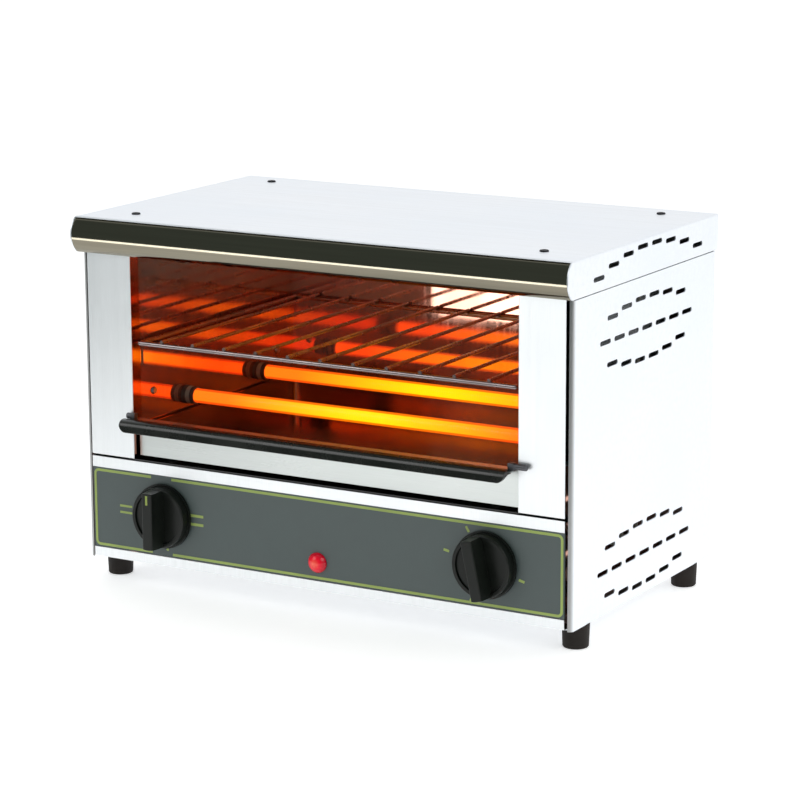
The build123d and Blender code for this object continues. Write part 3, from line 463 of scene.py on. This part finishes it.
def front_finish():
    """Brushed front sheet. Behind its face, the folds beside the opening are stained like the
    cavity, and the rest is painted black as shade in the gaps."""
    finish = brushed("front_steel", FRONT_STEEL, 0.40, "Z", FRONT_TINT)
    sheet_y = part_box("front_column_left")[0][1] + SHEET_FACE
    rail_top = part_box("front_rail_upper")[1][2] + MARGIN
    cavity_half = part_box("cavity_back")[1][0] + MARGIN
    behind = finish.combine("GREATER_THAN", finish.axis("Y"), sheet_y)
    above_rail = finish.combine("GREATER_THAN", finish.axis("Z"), rail_top)
    off_centre = finish.combine("ABSOLUTE", finish.axis("X"))
    beside_opening = finish.combine("LESS_THAN", off_centre, cavity_half)
    stained = finish.combine("MULTIPLY", above_rail, beside_opening)
    # Behind the face, away from the stained folds, the sheet is painted black as shade in the gaps.
    fold_colour = finish.mix(stained, GAP_SHADE_BLACK, CAVITY_STAIN)
    finish.link(finish.mix(behind, finish.driving("Base Color"), fold_colour), "Base Color")
    stained_fold = finish.combine("MULTIPLY", behind, stained)
    smoother = finish.combine("MULTIPLY", stained_fold, FOLD_SMOOTHER)
    finish.link(finish.combine("ADD", finish.driving("Roughness"), smoother), "Roughness")
    return finish


def satin_finish():
    """Satin case sheet; the rolled front edge of the sides is painted a little darker, as shade on the
    roll.
    """
    finish = brushed("satin_steel", SATIN_STEEL, 0.42, "X", SATIN_TINT)
    low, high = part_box("side_panel_right")
    edge = (low[1] + ROLLED_EDGE[0], low[1] + ROLLED_EDGE[1])
    rolled = finish.remap(finish.axis("Y"), edge, target=(1.0, 0.0))
    below_cover = finish.combine("LESS_THAN", finish.axis("Z"), high[2])
    edge_shade = finish.combine("MULTIPLY", rolled, below_cover)
    # The rolled edge is painted darker: painted shade, not wear.
    finish.link(finish.mix(edge_shade, finish.driving("Base Color"), ROLLED_EDGE_SHADE), "Base Color")
    return finish


def cavity_finish():
    """Cavity sheet and rack rails: polished, red-brown from heat, paler under the ceiling, with
    the front edge of the floor painted black as shade in the gap."""
    finish = polished("cavity_steel", CAVITY_STEEL, 0.05, "Z", heat=CAVITY_STAIN)
    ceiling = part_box("cavity_ceiling")[1][2]
    fade = (ceiling + CEILING_FADE[0], ceiling + CEILING_FADE[1])
    height = finish.remap(finish.axis("Z"), fade, target=(0.0, CEILING_PALER))
    walls = finish.mix(height, finish.driving("Base Color"), CAVITY_TOP)
    floor_low, floor_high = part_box("cavity_floor")
    front = finish.combine("LESS_THAN", finish.axis("Y"), floor_low[1] + FLOOR_EDGE_DEPTH)
    low = finish.combine("LESS_THAN", finish.axis("Z"), floor_high[2] + MARGIN)
    edge = finish.combine("MULTIPLY", front, low)
    # The floor's front edge is painted black and made less metallic: painted shade in the gap.
    finish.link(finish.mix(edge, walls, GAP_SHADE_BLACK), "Base Color")
    duller = finish.combine("MULTIPLY", edge, CAVITY_METALLIC)
    finish.link(finish.combine("SUBTRACT", CAVITY_METALLIC, duller), "Metallic")
    return finish


# ---------------------------------------------------------------- a finish for every record slot
FINISHES = {
    "satin_steel": satin_finish(),
    "nose_steel": polished("nose_steel", NOSE_STEEL, 0.06, "X"),
    "front_steel": front_finish(),
    "cavity_steel": cavity_finish(),
    "chrome_wire": plain_metal("chrome_wire", RACK_WIRE, 0.26),
    "tray_steel": tray_finish(),
    "handle_black": moulded("handle_black", HANDLE_BLACK, 0.26, grain=700.0, coat=0.2),
    "pin_steel": plain_metal("pin_steel", PIN_STEEL, 0.4),
    "knob_black": knob_finish(),
    "spindle_steel": plain_metal("spindle_steel", SPINDLE_STEEL, 0.3),
    "panel_grey": moulded("panel_grey", PANEL_GREY, 0.42, grain=1400.0, depth=0.00002, variation=0.05),
    "lime_print": moulded("lime_print", LIME_PRINT, 0.5, grain=1600.0, depth=0.00001, variation=0.07),
    "lamp_red": lamp_finish(),
    "black_plastic": moulded("black_plastic", PLASTIC_BLACK, 0.45),
    "plated_steel": brushed("plated_steel", PLATED_STEEL, 0.38, "X", PLATED_TINT),
    "quartz": quartz_finish(),
    "glowing_wire": coil_finish(),
    "ceramic_white": cap_finish(),
    "nickel_strip": plain_metal("nickel_strip", NICKEL, 0.3),
    "lead_sleeve": moulded("lead_sleeve", SLEEVE_CREAM, 0.8),
    "rubber_black": moulded(
        "rubber_black", RUBBER_BLACK, 0.6, grain=1500.0, variation=0.25, specular=0.25
    ),
    "screw_steel": plain_metal("screw_steel", SCREW_STEEL, 0.4),
    "screw_black": plain_metal("screw_black", SCREW_BLACK, 0.45),
}


def dress_frame():
    """Gives every CAD node the finish of its record slot."""
    for name, thing in frame["nodes"].items():
        for socket in thing.material_slots:
            socket.material = FINISHES[slot_of[name]].material


dress_frame()


# ---------------------------------------------------------------- studio
TABLE_FRONT = -0.62
TABLE_REACH = 8.0
TABLE_GLOW = 0.5
ROOM_EDGE = 0.12


def add_floor():
    """A pale table top, partly self-lit, that ends a little way in front of the object."""
    mesh = bpy.data.meshes.new("floor")
    corners = [(-TABLE_REACH, TABLE_FRONT, 0.0), (TABLE_REACH, TABLE_FRONT, 0.0)]
    corners += [(TABLE_REACH, TABLE_REACH, 0.0), (-TABLE_REACH, TABLE_REACH, 0.0)]
    mesh.from_pydata(corners, [], [(0, 1, 2, 3)])
    floor = bpy.data.objects.new("floor", mesh)
    bpy.context.collection.objects.link(floor)
    finish = Finish("floor_pale", FLOOR_PALE, 0.7)
    marbling = finish.mix(finish.noise(2.0, detail=2.0), FLOOR_PALE_LOW, FLOOR_PALE_HIGH)
    finish.link(marbling, "Base Color")
    finish.set("Emission Color", (*WHITE, 1.0))
    finish.set("Emission Strength", TABLE_GLOW)
    mesh.materials.append(finish.material)


def add_light(name, azimuth, elevation, distance, size, power, aim=(0.0, 0.0, 0.15)):
    """Soft rectangular lamp that faces its aim, from that azimuth, elevation and distance."""
    lamp = bpy.data.lights.new(name, "AREA")
    lamp.shape = "RECTANGLE"
    lamp.size, lamp.size_y = size
    lamp.energy = power
    thing = bpy.data.objects.new(name, lamp)
    bpy.context.collection.objects.link(thing)
    back = view_direction(azimuth, elevation)
    thing.location = Vector(aim) + back * distance
    thing.rotation_euler = back.to_track_quat("Z", "Y").to_euler()
    thing.visible_camera = False
    return thing


def choose(light, pieces, state):
    """Keeps a lamp off some pieces (EXCLUDE), or on them alone (INCLUDE)."""
    group = bpy.data.collections.new(light.name + "_pieces")
    for piece in pieces:
        group.objects.link(piece)
    light.light_linking.receiver_collection = group
    for entry in group.collection_objects:
        entry.light_linking.link_state = state


def in_slots(*slots):
    """The CAD nodes whose record slot is one of these."""
    return [frame["nodes"][name] for name, slot in slot_of.items() if slot in slots]


def add_world():
    """White studio behind the object and a dark room in front of it. The camera itself sees white
    all round, so the dark room shows only in reflections and as less light from the front."""
    world = bpy.data.worlds.new("studio")
    world.use_nodes = True
    nodes, links = world.node_tree.nodes, world.node_tree.links
    background = nodes["Background"]
    direction = nodes.new("ShaderNodeTexCoord")
    split = nodes.new("ShaderNodeSeparateXYZ")
    links.new(direction.outputs["Generated"], split.inputs[0])
    ramp = nodes.new("ShaderNodeMapRange")
    limits = {"From Min": -ROOM_EDGE, "From Max": ROOM_EDGE, "To Min": 0.0, "To Max": 1.0}
    for socket, value in limits.items():
        ramp.inputs[socket].default_value = value
    links.new(split.outputs["Y"], ramp.inputs["Value"])
    seen = nodes.new("ShaderNodeLightPath")
    lit = nodes.new("ShaderNodeMath")
    lit.operation = "MAXIMUM"
    links.new(ramp.outputs["Result"], lit.inputs[0])
    links.new(seen.outputs["Is Camera Ray"], lit.inputs[1])
    tone = nodes.new("ShaderNodeMix")
    tone.data_type = "RGBA"
    tone.inputs[6].default_value = (*DARK_ROOM, 1.0)
    tone.inputs[7].default_value = (*WHITE, 1.0)
    links.new(lit.outputs[0], tone.inputs[0])
    links.new(tone.outputs[2], background.inputs["Color"])
    background.inputs["Strength"].default_value = 1.0
    bpy.context.scene.world = world


def add_lamps():
    """Large lamps for the outside of the case; small ones for its front, its nose and the cavity."""
    cavity = in_slots("cavity_steel")
    polish = in_slots("nose_steel") + cavity
    faces = in_slots("front_steel", "tray_steel", "panel_grey")

    front_left = add_light("front_left", -38.0, 32.0, 2.6, (1.6, 1.2), 14.0)
    choose(front_left, polish, "EXCLUDE")
    front_right = add_light("front_right", 62.0, 30.0, 2.6, (1.4, 1.4), 15.0)
    choose(front_right, polish, "EXCLUDE")
    bounce = add_light("front_bounce", -30.0, -6.0, 1.2, (0.6, 0.5), 1.6, aim=(0.24, -0.12, 0.16))
    choose(bounce, faces, "INCLUDE")
    top = add_light("top", 0.0, 85.0, 2.4, (2.0, 2.0), 6.0)
    choose(top, polish, "EXCLUDE")
    low_strip = add_light("low_strip", 0.0, 0.0, 0.6, (0.64, 0.13), 1.3, aim=(-0.30, 0.0, 0.04))
    choose(low_strip, polish, "INCLUDE")
    cavity_fill = add_light("cavity_fill", 0.0, 2.0, 2.5, (0.5, 0.3), 12.0)
    choose(cavity_fill, cavity, "INCLUDE")


add_floor()
add_world()
add_lamps()
